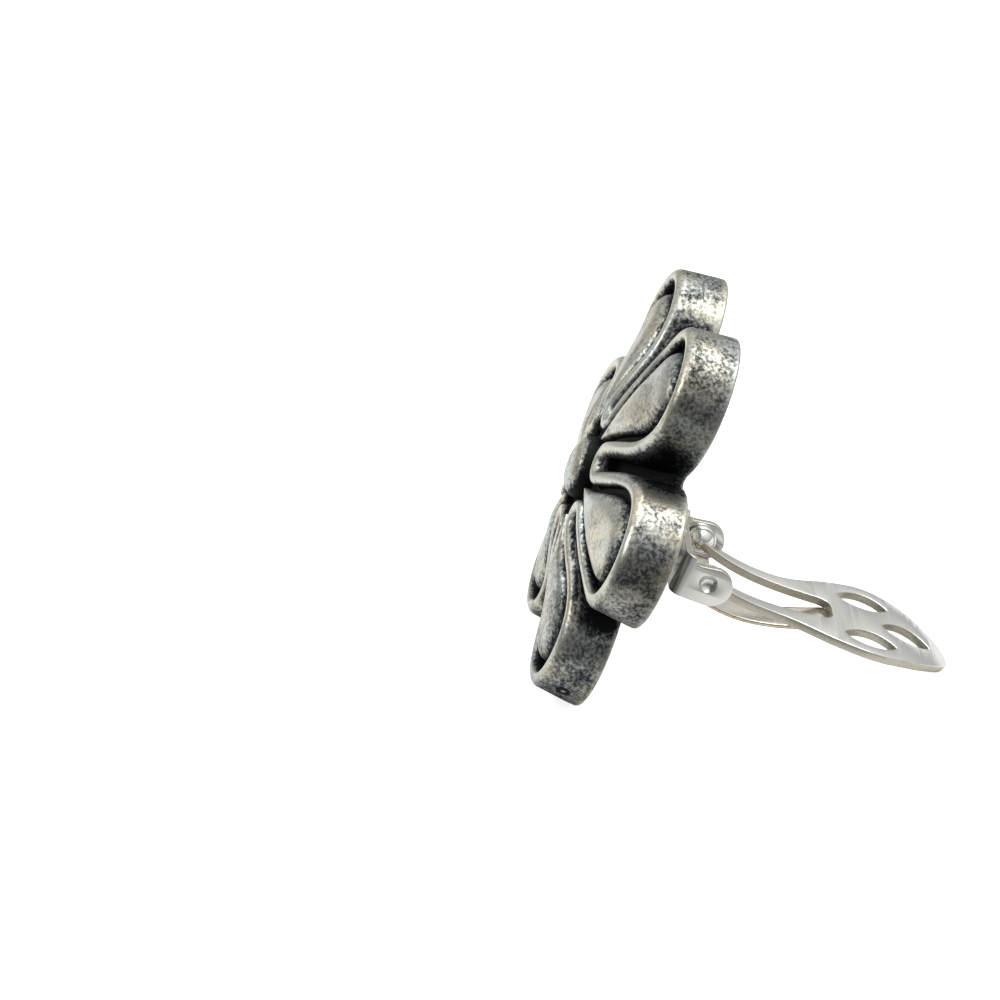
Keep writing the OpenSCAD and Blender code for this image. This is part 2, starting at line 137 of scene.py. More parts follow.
def rim_point(i, off):
    """The point beside station i that lies off outwards from the rim's centreline."""
    if i <= LOBE:
        return lobe_c + (lobe_r + off) * along(join_angle * i / LOBE)
    if i <= WEB:
        angle = mix(join_angle, web_angle, (i - LOBE) / (WEB - LOBE))
        return flank_c + (flank_r + off) * along(angle)
    if i <= FLANK:
        angle = mix(web_angle, straight_angle, (i - WEB) / (FLANK - WEB))
        return flank_c + (flank_r + off) * along(angle)
    if i <= SIDE:
        reach = mix(straight_start, bend_reach, (i - FLANK) / (SIDE - FLANK))
        return reach * gap_dir + (rim_side - off) * gap_nrm
    return bend_c + (rim_side - off) * along(90 - half_angle + 90 * (i - SIDE) / (GAP - SIDE))


print("flank joins the lobe at", round(join_angle, 1), "degrees")

# %% [markdown]
# ## Heights over the flower
# The face is a low bell: nearly level round the button, falling over the petals' inner halves, and
# level again towards the tips. The groove, the pillow and the button are all measured down or up
# from the height of the rim's crest, so one formula carries the whole relief.

# %% Heights and the places of groove, pillow and button
tip_r = lobe_reach + lobe_r + foot
slot_end = bend_reach - rim_side + rim_w / 2


def crest(p):
    """Height of the rim's crest over the back."""
    return rim_h + (peak_h - rim_h) * math.exp(-(math.hypot(*p[:2]) / face_w) ** face_power)


def wall_off(z):
    """How far the drafted side wall lies outside the rim's centreline at the height z."""
    return rim_w / 2 + draft * (1 - z / rim_h)


def web_z(p):
    """Height of the web, which climbs towards the slot's inner end."""
    return web_t + web_rise * max(0.0, (web_reach - math.hypot(*p)) / (web_reach - slot_end))


def groove_at(i):
    """Width of the groove, which narrows along the petal."""
    return groove_w * np.interp(i, [0, LOBE, FLANK, SIDE], [1, 0.8, 0.6, 0.42])


def island(i):
    """Where the groove ends and the pillow or the button starts."""
    neck = np.array([pillow_tip, 0.0])
    if i <= SIDE:
        return rim_point(i, -rim_w / 2 - groove_at(i))
    if i <= NECK:
        start = rim_point(SIDE, -rim_w / 2 - groove_at(SIDE))
        return mix(start, neck, (i - SIDE) / (NECK - SIDE))
    if i <= NECK + 1:
        return mix(neck, np.array([button_r, 0.0]), i - NECK)
    return button_r * along(-half_angle * (i - NECK - 1) / (GAP - NECK - 1))


def pillow_top(i):
    """The pillow's height over the groove, lower where the pillow is narrow."""
    wide = lobe_r - rim_w / 2 - groove_at(LOBE)
    share = 1.0 if i < LOBE else min(1.0, abs(island(i)[1]) / wide)
    return pillow_h * mix(tip_share, 1.0, share)


print("crest at the tip", round(crest([tip_r, 0]), 2), "mm, at the bend", round(crest(bend_c), 2), "mm")

# %% [markdown]
# ## One column of the surface
# A column is a section through the casting beside one station. Each of its vertices carries three
# more numbers: how much dark patina lies there, how far handling has worn it bright, and whether
# the cast skin may ripple. Antiqued metal is dipped black and then buffed, so patina stays in
# whatever lies low and the buffed crests shine. Storing that on the mesh is truer than guessing it
# from a picture of the surface, because the formulas know what is a groove.

# %% Columns of vertices: place, patina, wear, skin
BACK_FILLET, SHOULDER = 0.16, 0.6
# SLOT_WALL raises the patina on walls that face the next petal: real patina in the slot, and painted
# shade between the petals as well.
OPEN_WALL, SLOT_WALL, DEEP = 0.3, 1.15, 1.2
GROOVE_DISH = 0.36
slot_from, slot_blend = 7.6, 1.3


def vertex(p, z, patina, worn=0.0, skin=1.0):
    return np.array([p[0], p[1], z, patina, worn, skin])


# Where in_slot rises, the patina rises with it, partly as painted shade between the petals.
def in_slot(i):
    """0 on the lobe, 1 where the wall faces the next petal's."""
    return soft_step((i - slot_from) / slot_blend)


def back_and_foot(i, low, ring_p, foot_p):
    """From the middle of the back out to the edge, and round it up to the height low."""
    column = [vertex(ring_p * t, 0.0, 0.35, 0.0, 0.0) for t in (0.0, 0.35, 0.7, 0.92)]
    for angle in range(0, 91, 18):
        out = math.sin(math.radians(angle))
        z = BACK_FILLET * (1 - math.cos(math.radians(angle)))
        column.append(vertex(mix(ring_p, foot_p(z), out), z, mix(0.25, 0.8, in_slot(i)), 0.9, 0.0))
    for t in (0.35, 0.7, 1.0):
        z = mix(BACK_FILLET, low, t)
        column.append(vertex(foot_p(z), z, mix(OPEN_WALL, 1.0, in_slot(i)), 0.3 * (1 - t), t))
    return column


def outer_column(i):
    ring_p = rim_point(i, wall_off(0) - BACK_FILLET)
    return back_and_foot(i, web_t, ring_p, lambda z: rim_point(i, wall_off(z)))


def wall_and_rim(i):
    """Up the side wall, over the rim and down into the groove."""
    low = web_z(rim_point(i, foot))
    high = crest(rim_point(i, rim_w / 2)) - SHOULDER
    column, top_off = [], rim_w / 2
    for t in np.linspace(0, 1, 13):
        z = mix(low, high, t)
        fade = 1 - 0.75 * t ** 8
        wall_p = rim_point(i, mix(wall_off(low), top_off, t))
        column.append(vertex(wall_p, z, mix(OPEN_WALL, SLOT_WALL * fade, in_slot(i))))
    for angle in range(12, 91, 13):
        share = math.cos(math.radians(angle)) ** 1.25
        p = rim_point(i, share * top_off)
        drop = SHOULDER * (1 - math.sin(math.radians(angle)))
        worn = soft_step((angle - 10) / 65)
        column.append(vertex(p, crest(p) - drop, mix(0.2, 0.7 * (1 - worn) + 0.08, in_slot(i)), worn))
    for angle in (5, 10, 18, 28, 40, 52, 64, 76, 90):
        share = math.sin(math.radians(angle)) ** 0.5
        p = rim_point(i, -share * rim_w / 2)
        drop = 1 - math.cos(math.radians(angle))
        worn = 1 - soft_step((angle - 8) / 30)
        column.append(vertex(p, crest(p) - groove_d * drop, mix(0.1, 1.1, soft_step(1.5 * drop)), worn))
    inner, outer = island(i), rim_point(i, -rim_w / 2)
    for t in (0.2, 0.4, 0.6, 0.8, 1.0):
        p = mix(outer, inner, t)
        dip = 1 + GROOVE_DISH * t * (1 - t)
        column.append(vertex(p, crest(p) - groove_d * dip, DEEP))
    return column


print("a column beside the lobe has", len(outer_column(2)) + len(wall_and_rim(2)), "vertices")

# %% [markdown]
# ## The pillow, the button and the slot
# A pillow is a dome over a pear-shaped foot. Its section is a superellipse: steep where it leaves
# the groove and almost flat on top, as a casting is after buffing. The button is a dome of the
# same kind, turned round the flower's middle. Both could be sculpted, but then the patina would
# have to be painted by hand, while here the height of the rise says where it lies.

# %% Columns of the pillow, the button, the slot and the web's edge
def pillow_column(i):
    base = island(i)
    spine = np.array([pillow_tip + spine_start if i >= NECK else min(lobe_reach, base[0]), 0.0])
    column = []
    for u in np.linspace(0, 1, 15):
        t = u * u
        rise = (1 - (1 - t) ** 3) ** 0.4
        p = mix(base, spine, t)
        z = crest(p) - groove_d + pillow_top(i) * rise
        patina = mix(DEEP, 0.08, soft_step(rise / 0.95))
        column.append(vertex(p, z, patina, 0.55 * soft_step((rise - 0.55) / 0.4)))
    return column


def button_column(i):
    base = island(i)
    z = crest(base) - groove_d
    column = []
    for angle in np.linspace(0, 90, 13):
        share = math.cos(math.radians(angle)) ** (2 / 3)
        rise = math.sin(math.radians(angle)) ** 0.727
        patina = mix(1.25, 0.16, soft_step((rise - 0.5) / 0.3))
        worn = 0.5 * soft_step((rise - 0.6) / 0.3)
        column.append(vertex(base * share, mix(z, button_h, rise), patina, worn))
    return column


def on_gap(i):
    """The slot's floor under station i, on the middle line between two petals."""
    z = web_z(rim_point(i, foot))
    reach = rim_point(i, wall_off(z)) @ gap_dir - (web_inset if i == WEB else 0.0)
    return vertex(reach * gap_dir, z, DEEP)


def slot_column(i):
    z = web_z(rim_point(i, foot))
    wall_foot = vertex(rim_point(i, wall_off(z)), z, mix(OPEN_WALL, SLOT_WALL, in_slot(i)))
    return [mix(on_gap(i), wall_foot, t) for t in (0.0, 0.3, 0.6, 1.0)]


def web_column(t):
    """The web's outer edge, from the wall's foot at t = 0 to the middle line at t = 1."""
    gap_end = on_gap(WEB)[:2]
    ring_p = mix(rim_point(WEB, wall_off(0) - BACK_FILLET), gap_end - BACK_FILLET * gap_dir, t)
    station = mix(WEB, FLANK, t)
    return back_and_foot(station, web_t, ring_p, lambda z: mix(rim_point(WEB, wall_off(z)), gap_end, t))


print("pillow at the lobe stands", round(pillow_column(0)[-1][2], 2), "mm above the back")

# %% [markdown]
# ## Half a petal as one mesh
# Neighbouring columns are joined with four-sided faces. The patches share their border vertices in
# place, and doubles are merged once the whole ring exists, so no seam stays open.

# %% Build half a petal
FINE = 4


def stations(first, last):
    """The stations from first to last, FINE of them to each whole number."""
    return [first + k / FINE for k in range(FINE * (last - first) + 1)]


half_vertices, half_faces = [], []


def add_patch(columns):
    """Joins neighbouring columns of equal length with four-sided faces."""
    start, rows = len(half_vertices), len(columns[0])
    half_vertices.extend(v for column in columns for v in column)
    for a in range(len(columns) - 1):
        for b in range(rows - 1):
            k = start + a * rows + b
            half_faces.append((k, k + 1, k + rows + 1, k + rows))


add_patch([outer_column(i) for i in stations(0, WEB)])
add_patch([wall_and_rim(i) for i in stations(0, GAP)])
add_patch([pillow_column(i) for i in stations(0, NECK)])
add_patch([button_column(i) for i in stations(NECK + 1, GAP)])
add_patch([slot_column(i) for i in stations(WEB, GAP)])
add_patch([web_column(t) for t in (0.0, 0.4, 0.7, 1.0)])

half = bpy.data.meshes.new("half_petal")
half.from_pydata([v[:3] for v in half_vertices], [], half_faces)
for k, name in enumerate(("patina", "worn", "skin")):
    layer = half.attributes.new(name, "FLOAT", "POINT")
    layer.data.foreach_set("value", [float(v[3 + k]) for v in half_vertices])
print("half a petal:", len(half.vertices), "vertices,", len(half.polygons), "faces")

# %% [markdown]
# ## A short way to write node trees
# Node trees for shapes and for materials are both long when every socket is set on a line of its
# own. This small class lets a tree be written like a formula: an input takes either a number or
# another node's output.

# %% The node-writing helper
class Graph:
    def __init__(self, tree):
        self.tree = tree

    def add(self, kind, inputs=None, **settings):
        node = self.tree.nodes.new(kind)
        for name, value in settings.items():
            setattr(node, name, value)
        for key, value in (inputs or {}).items():
            if isinstance(value, bpy.types.NodeSocket):
                self.link(value, node, key)
            else:
                node.inputs[key].default_value = value
        return node

    def link(self, output, node, socket):
        self.tree.links.new(output, node.inputs[socket])

    def math(self, operation, a, b=0.0, clamp=False):
        node = self.add("ShaderNodeMath", {0: a, 1: b}, operation=operation, use_clamp=clamp)
        return node.outputs[0]

    def map(self, value, low, high, to_low=0.0, to_high=1.0):
        """value from low to high as a soft step from to_low to to_high."""
        inputs = {"Value": value, "From Min": low, "From Max": high, "To Min": to_low, "To Max": to_high}
        return self.add("ShaderNodeMapRange", inputs, interpolation_type="SMOOTHSTEP").outputs["Result"]


def new_group(name, kind, inputs, outputs):
    """A node group with named sockets. Returns its graph, its input node and its output node."""
    tree = bpy.data.node_groups.new(name, kind)
    for label, socket, default in inputs:
        made = tree.interface.new_socket(name=label, in_out="INPUT", socket_type="NodeSocket" + socket)
        if default is not None:
            made.default_value = default
    for label, socket in outputs:
        tree.interface.new_socket(name=label, in_out="OUTPUT", socket_type="NodeSocket" + socket)
    graph = Graph(tree)
    return graph, graph.add("NodeGroupInput"), graph.add("NodeGroupOutput")


# %% [markdown]
# ## The ring of petals, in Geometry Nodes
# The half petal could be copied twelve times by hand or by an Array modifier. Geometry Nodes say
# it better: mirror the half, put the petal on as many points as there are petals, turn each by its
# index, and merge what meets. The same tree then ripples the cast skin a little along the normals,
# with a fixed seed, since no casting comes out of its mould as smooth as its formula.

# %% Build the petal ring tree
def petal_ring_tree():
    graph, given, result = new_group(
        "petal_ring", "GeometryNodeTree",
        [("Geometry", "Geometry", None), ("Petals", "Int", petals), ("Merge Distance", "Float", 0.0005),
         ("Ripple", "Float", 0.03), ("Ripple Size", "Float", 1.6), ("Seed", "Float", 4.0),
         ("Material", "Material", None)],
        [("Geometry", "Geometry")])
    put = given.outputs
    other = graph.add("GeometryNodeTransform", {"Geometry": put["Geometry"], "Scale": (1, -1, 1)})
    flipped = graph.add("GeometryNodeFlipFaces", {"Mesh": other.outputs[0]})
    petal = graph.add("GeometryNodeJoinGeometry")
    graph.link(flipped.outputs[0], petal, 0)
    graph.link(put["Geometry"], petal, 0)
    points = graph.add("GeometryNodePoints", {"Count": put["Petals"]})
    index = graph.add("GeometryNodeInputIndex").outputs[0]
    turn = graph.math("MULTIPLY", index, graph.math("DIVIDE", 2 * math.pi, put["Petals"]))
    about_z = graph.add("ShaderNodeCombineXYZ", {"Z": turn}).outputs[0]
    rotation = graph.add("FunctionNodeEulerToRotation", {0: about_z}).outputs[0]
    ring = graph.add("GeometryNodeInstanceOnPoints",
                     {"Points": points.outputs[0], "Instance": petal.outputs[0], "Rotation": rotation})
    real = graph.add("GeometryNodeRealizeInstances", {"Geometry": ring.outputs[0]})
    whole = graph.add("GeometryNodeMergeByDistance",
                      {"Geometry": real.outputs[0], "Distance": put["Merge Distance"]})
    waves = graph.add("ShaderNodeTexNoise", {
        "Vector": graph.add("GeometryNodeInputPosition").outputs[0], "W": put["Seed"],
        "Scale": graph.math("DIVIDE", 1.0, put["Ripple Size"]), "Detail": 2.0}, noise_dimensions="4D")
    skin = graph.add("GeometryNodeInputNamedAttribute", {"Name": "skin"}, data_type="FLOAT").outputs[0]
    height = graph.math("MULTIPLY", graph.math("SUBTRACT", waves.outputs[0], 0.5), put["Ripple"])
    offset = graph.add("ShaderNodeVectorMath", {
        0: graph.add("GeometryNodeInputNormal").outputs[0],
        "Scale": graph.math("MULTIPLY", height, skin)}, operation="SCALE")
    rippled = graph.add("GeometryNodeSetPosition",
                        {"Geometry": whole.outputs[0], "Offset": offset.outputs[0]})
    dressed = graph.add("GeometryNodeSetMaterial",
                        {"Geometry": rippled.outputs[0], "Material": put["Material"]})
    graph.link(dressed.outputs[0], result, 0)
    return graph.tree


def grown(mesh, tree, name, values):
    """The mesh that a tree makes from mesh, as a new object with no modifier left on it."""
    piece = bpy.data.objects.new(name, mesh)
    bpy.context.scene.collection.objects.link(piece)
    modifier = piece.modifiers.new(tree.name, "NODES")
    modifier.node_group = tree
    for socket in tree.interface.items_tree:
        if socket.item_type == "SOCKET" and socket.in_out == "INPUT" and socket.name in values:
            modifier[socket.identifier] = values[socket.name]
    depsgraph = bpy.context.evaluated_depsgraph_get()
    made = bpy.data.meshes.new_from_object(piece.evaluated_get(depsgraph), depsgraph=depsgraph)
    piece.modifiers.clear()
    piece.data = made
    made.name = name
    return piece


# %% [markdown]
# ## Shared effects for the metals
# Two effects turn up in more than one metal. Speckle is the fine dark peppering of a buffed
# surface, with larger clouds where it lies thicker. Satin is the fine grain that a tumbling barrel
# leaves. Each is a shader group with named inputs, built once. They read Object coordinates, which
# are metres, so a size input in millimetres keeps the pattern at its real scale.

# %% Build the speckle and satin groups
def noise(graph, vector, size, **inputs):
    """Noise whose waves are size millimetres long, from Object coordinates in metres."""
    scale = graph.math("DIVIDE", 1 / mm, size)
    place = graph.add("ShaderNodeVectorMath", {0: vector, "Scale": scale}, operation="SCALE").outputs[0]
    return graph.add("ShaderNodeTexNoise", {"Vector": place, "Scale": 1.0, **inputs}).outputs[0]


def speckle_group():
    graph, given, result = new_group(
        "speckle", "ShaderNodeTree",
        [("Vector", "Vector", None), ("Speck Size", "Float", 0.16), ("Cloud Size", "Float", 2.2),
         ("Cloud Weight", "Float", 0.5)],
        [("Mask", "Float")])
    put = given.outputs
    fine = noise(graph, put["Vector"], put["Speck Size"], Detail=3.0, Roughness=0.65)
    large = noise(graph, put["Vector"], put["Cloud Size"], Detail=2.0, Distortion=0.6)
    specks, clouds = graph.map(fine, 0.3, 0.7), graph.map(large, 0.3, 0.7)
    lifted = graph.math("MULTIPLY", graph.math("SUBTRACT", clouds, 0.5), put["Cloud Weight"])
    graph.link(graph.math("ADD", specks, lifted), result, "Mask")
    return graph.tree


def satin_group():
    graph, given, result = new_group(
        "satin", "ShaderNodeTree",
        [("Vector", "Vector", None), ("Grain Size", "Float", 0.05), ("Strength", "Float", 0.3)],
        [("Grain", "Float"), ("Normal", "Vector")])
    put = given.outputs
    grain = noise(graph, put["Vector"], put["Grain Size"], Detail=2.0)
    bump = graph.add("ShaderNodeBump", {
        "Strength": put["Strength"], "Distance": 0.01 * mm, "Height": grain})
    graph.link(grain, result, "Grain")
    graph.link(bump.outputs[0], result, "Normal")
    return graph.tree


speckle, satin = speckle_group(), satin_group()
print("shader groups:", speckle.name, satin.name)


def new_material(name, metallic=1.0):
    """A material's graph, its Principled shader and the Object coordinates."""
    material = bpy.data.materials.new(name)
    material.use_nodes = True
    graph = Graph(material.node_tree)
    shader = material.node_tree.nodes["Principled BSDF"]
    shader.inputs["Metallic"].default_value = metallic
    place = graph.add("ShaderNodeTexCoord").outputs["Object"]
    return material, graph, shader, place


def mark(graph, name):
    """A number that the mesh carries."""
    return graph.add("ShaderNodeAttribute", attribute_name=name).outputs["Fac"]


def ramp(graph, value, stops):
    """The color that value picks from (position, color) stops."""
    node = graph.add("ShaderNodeValToRGB", {"Fac": value})
    colors = node.color_ramp.elements
    while len(colors) < len(stops):
        colors.new(0.5)
    for element, (position, color) in zip(colors, stops):
        element.position = position
        element.color = (*color, 1)
    return node.outputs["Color"]


# %% [markdown]
# ## Antiqued silver
# The flower is plated, dipped dark and buffed back. One darkness value does the work: the patina
# that the mesh carries, plus speckle and clouds, less wear. It runs through a ramp from bright
# silver over grey to near black. The dark film isn't metal, so the same value also lowers
# Metallic and raises Roughness, and the specks are pitted into the surface by a bump. The lower
# petals are also painted darker, as painted shade for light that falls from above. One small
# ring on a lower wall is the stub of the runner through which the mould was filled.

# %% Make the antiqued silver
gate_station, gate_z = 2.1, 1.6


def gate_ring(graph, place):
    """A dark ring with a bright middle, on the wall of the last petal."""
    c, s = along(-2 * half_angle)
    x, y = rim_point(gate_station, wall_off(gate_z)) * (1, -1)
    gate = stand @ Vector((x * c - y * s, x * s + y * c, gate_z))
    far = graph.add("ShaderNodeVectorMath", {0: place, 1: gate}, operation="DISTANCE").outputs["Value"]
    outer = graph.map(far, 0.42 * mm, 0.58 * mm, 1.0, 0.0)
    inner = graph.map(far, 0.1 * mm, 0.26 * mm, 1.0, 0.0)
    return graph.math("SUBTRACT", outer, graph.math("MULTIPLY", inner, 1.4))


def antique_silver():
    material, graph, shader, place = new_material("antiqued silver")
    specks = graph.add("ShaderNodeGroup", {
        "Vector": place, "Speck Size": 0.24, "Cloud Size": 2.0, "Cloud Weight": 0.7}, node_tree=speckle)
    patina, worn = mark(graph, "patina"), mark(graph, "worn")
    pepper = graph.math("SUBTRACT", 0.5, graph.math("MULTIPLY", worn, 0.2))
    peppered = graph.math("MULTIPLY", specks.outputs["Mask"], pepper)
    # Painted shade: the lower a point stands, the darker it is painted, for light that falls from above.
    height = graph.add("ShaderNodeSeparateXYZ", {0: place}).outputs["Z"]
    low = graph.map(height, 2 * mm, 16 * mm, 0.15, 0.0)
    dark = graph.math("ADD", graph.math("MULTIPLY", patina, 0.72), graph.math("ADD", peppered, low))
    dark = graph.math("SUBTRACT", dark, graph.math("MULTIPLY", worn, 0.2))
    dark = graph.math("ADD", dark, graph.math("MULTIPLY", gate_ring(graph, place), 0.5), clamp=True)
    color = ramp(graph, dark, [
        (0.0, (0.70, 0.69, 0.63)), (0.25, (0.50, 0.495, 0.455)), (0.5, (0.25, 0.255, 0.245)),
        (0.75, (0.06, 0.065, 0.07)), (0.95, (0.002, 0.0025, 0.003))])
    patches = noise(graph, place, 3.2, Detail=3.0)
    tint = ramp(graph, patches, [(0.35, (0.93, 1.0, 1.03)), (0.65, (1.06, 1.0, 0.88))])
    color = graph.add("ShaderNodeMix", {"Factor": 1.0, 6: color, 7: tint},
                      data_type="RGBA", blend_type="MULTIPLY").outputs[2]
    graph.link(color, shader, "Base Color")
    graph.link(graph.map(dark, 0.6, 0.95, 1.0, 0.0), shader, "Metallic")
    graph.link(graph.map(dark, 0.1, 0.8, 0.3, 0.55), shader, "Roughness")
    shader.inputs["Specular IOR Level"].default_value = 0.12
    bump = graph.add("ShaderNodeBump", {
        "Strength": 0.25, "Distance": 0.03 * mm, "Height": graph.math("SUBTRACT", 1.0, dark)})
    graph.link(bump.outputs[0], shader, "Normal")
    return material


silver = antique_silver()
print("material:", silver.name)

# %% [markdown]
# ## Bright nickel
# The clip is stamped from sheet and then plated. Its faces are bright with a fine satin grain, and
# its cut edges keep the coarser, browner look of sheared steel under thin plating. The mesh says
# which vertices lie on a cut edge.

# %% Make the bright nickel
def bright_nickel():
    material, graph, shader, place = new_material("bright nickel")
    grain = graph.add("ShaderNodeGroup", {"Vector": place, "Grain Size": 0.06, "Strength": 0.25},
                      node_tree=satin)
    stains = graph.add("ShaderNodeGroup", {"Vector": place, "Speck Size": 0.12, "Cloud Size": 1.8},
                       node_tree=speckle)
    cut = mark(graph, "cut")
    shade = graph.math("ADD", graph.math("MULTIPLY", cut, 0.6),
                       graph.math("MULTIPLY", stains.outputs["Mask"], 0.15))
    color = ramp(graph, shade, [
        (0.0, (0.90, 0.895, 0.86)), (0.3, (0.82, 0.81, 0.75)), (0.7, (0.52, 0.49, 0.40)),
        (1.0, (0.30, 0.26, 0.19))])
    graph.link(color, shader, "Base Color")
    rough = graph.math("MULTIPLY", graph.math("SUBTRACT", grain.outputs["Grain"], 0.5), 0.12)
    rough = graph.math("ADD", rough, graph.map(cut, 0.0, 1.0, 0.21, 0.34))
    graph.link(rough, shader, "Roughness")
    graph.link(grain.outputs["Normal"], shader, "Normal")
    return material


nickel = bright_nickel()
print("material:", nickel.name)

# %% [markdown]
# ## Spring bronze
# The spring's strip is slit from bronze and plated too, thinly, so its faces look like warm
# nickel, and its far slit edge is painted dark copper-brown as painted shade.

# %% Make the spring bronze
def spring_bronze():
    material, graph, shader, place = new_material("spring bronze")
    shader.inputs["Roughness"].default_value = 0.2
    grain = graph.add("ShaderNodeGroup", {"Vector": place, "Grain Size": 0.08, "Strength": 0.3},
                      node_tree=satin)
    stains = graph.add("ShaderNodeGroup", {"Vector": place, "Speck Size": 0.2, "Cloud Size": 1.2},
                       node_tree=speckle)
    cut = mark(graph, "cut")
    shade = graph.math("ADD", graph.math("MULTIPLY", cut, 0.8),
                       graph.math("MULTIPLY", stains.outputs["Mask"], 0.2))
    # The darkest copper-brown stops are painted shade on the strip's far slit edge.
    color = ramp(graph, shade, [
        (0.0, (0.86, 0.85, 0.80)), (0.2, (0.80, 0.77, 0.68)), (0.42, (0.66, 0.55, 0.44)),
        (0.75, (0.30, 0.15, 0.08)), (1.0, (0.14, 0.06, 0.03))])
    graph.link(color, shader, "Base Color")
    graph.link(grain.outputs["Normal"], shader, "Normal")
    return material


bronze = spring_bronze()
print("material:", bronze.name)


# %% [markdown]
# ## Grow the flower
# The tree turns the half petal into the whole flower. Then the piece is stood up by its matrix,
# so the object itself stays at the origin.

# %% The flower
def settle(piece, matrix, sharp_angle):
    """Puts the piece's place into its mesh and keeps only its real corners sharp."""
    piece.data.transform(matrix)
    piece.data.shade_smooth()
    piece.data.set_sharp_from_angle(angle=math.radians(sharp_angle))


flower = grown(half, petal_ring_tree(), "cast_flower", {"Material": silver})
settle(flower, stand, 50)
print("flower:", len(flower.data.vertices), "vertices,", len(flower.data.polygons), "faces")

# %% [markdown]
# ## Stamped sheet: blank it flat, then bend it
# The bracket and the leaf are both cut flat from sheet and then pressed. They are made the same
# way here. A flat curve with holes, a thickness and a small bevel gives the blank with the
# slightly rounded edges of a tumbled stamping. It is then sliced into narrow bands, so that it has
# vertices to bend with, and each vertex is moved by the bending formula.

# %% The blank
EDGE_R = 0.07


def blank(name, loops, thickness):
    """A flat plate round Z = 0 with rounded edges, as a mesh in millimetres."""
    curve = bpy.data.curves.new(name, "CURVE")
    curve.dimensions, curve.fill_mode = "2D", "BOTH"
    curve.extrude = thickness / 2 - EDGE_R
    curve.bevel_depth, curve.bevel_resolution, curve.offset = EDGE_R, 2, -EDGE_R
    for loop in loops:
        spline = curve.splines.new("POLY")
        spline.points.add(len(loop) - 1)
        spline.points.foreach_set("co", [c for x, y in loop for c in (x, y, 0.0, 1.0)])
        spline.use_cyclic_u = True
    plate = bpy.data.objects.new(name, curve)
    bpy.context.scene.collection.objects.link(plate)
    depsgraph = bpy.context.evaluated_depsgraph_get()
    mesh = bpy.data.meshes.new_from_object(plate.evaluated_get(depsgraph), depsgraph=depsgraph)
    bpy.data.objects.remove(plate)
    return mesh


def pressed(mesh, cuts, thickness, bend):
    """Slices the blank at the given (axis, place) cuts, marks its cut edge and bends it."""
    work = bmesh.new()
    work.from_mesh(mesh)
    bmesh.ops.remove_doubles(work, verts=work.verts, dist=0.0005)
    for axis, place in cuts:
        normal = [0, 0, 0]
        normal[axis] = 1
        point = [n * place for n in normal]
        everything = [*work.verts, *work.edges, *work.faces]
        bmesh.ops.bisect_plane(work, geom=everything, plane_co=point, plane_no=normal)
    cut = work.verts.layers.float.new("cut")
    for v in work.verts:
        v[cut] = 1 - soft_step((abs(v.co.z) - thickness / 2 + EDGE_R) / EDGE_R)
        v.co = bend(*v.co)
    bmesh.ops.recalc_face_normals(work, faces=work.faces)
    work.to_mesh(mesh)
    work.free()
    return mesh


print("stamped edges are rounded by", EDGE_R, "mm")

# %% [markdown]
# ## The leaf-shaped lever
# The lever's outline is a smooth line through a short table: two arms that draw in a little, then
# a leaf that widens and runs to a blunt tip. A long slot parts the arms, and three pointed
# cut-outs, each between two arcs, lighten the leaf. From the side the sheet is a gentle wave.

# %% Sizes and outline of the lever
paddle_len, paddle_w, paddle_t, wave = 18.6, 9.8, 0.6, 1.2
ear_gap, ear_t, eye_play, eye_t, eye_r = 6.7, 0.5, 0.12, 0.5, 1.05
arm_w, arm_waist = 1.05, 0.2
slot_w, slot_len, slot_r = 3.0, 9.7, 1.0
leaf_len, leaf_w, leaf_side = 3.8, 2.2, 2.8
side_leaf_back, end_leaf_back, tip_w = 6.4, 3.4, 0.7
eye_out = ear_gap / 2 - eye_play
slot_in = eye_out - arm_w
arm_table = [(0, 0), (0.15, 0.8), (0.29, 1)]
leaf_table = [(0.36, 0.65), (0.425, 0.735), (0.51, 0.875), (0.61, 0.985), (0.67, 1), (0.73, 0.96),
              (0.83, 0.79), (0.9, 0.585), (0.95, 0.395), (0.975, 0.265), (0.992, 0.145)]


def smooth_line(points, steps):
    """A smooth line through the points."""
    p = [np.array(q, float) for q in (points[0], *points, points[-1])]
    line = []
    for a, b, c, d in zip(p, p[1:], p[2:], p[3:]):
        for t in np.arange(steps) / steps:
            line.append(0.5 * (2 * b + (c - a) * t + (2 * a - 5 * b + 4 * c - d) * t ** 2
                               + (3 * b - a - 3 * c + d) * t ** 3))
    return [*line, p[-1]]


def mirrored(points):
    """The other half of an outline that is the same on both sides of the Y axis."""
    return [np.array([-q[0], q[1]]) for q in reversed(points)]


def lens(x, y):
    """A pointed oval between two arcs, its middle at x, y and its points along Y."""
    bow = (leaf_len ** 2 + leaf_w ** 2) / (4 * leaf_w)
    reach = math.degrees(math.asin(leaf_len / 2 / bow))
    angles = np.linspace(-reach, reach, 19)
    right = [np.array([x + leaf_w / 2 - bow, y]) + bow * along(a) for a in angles]
    left = [np.array([x - leaf_w / 2 + bow, y]) + bow * along(180 + a) for a in angles]
    return right[:-1] + left[:-1]


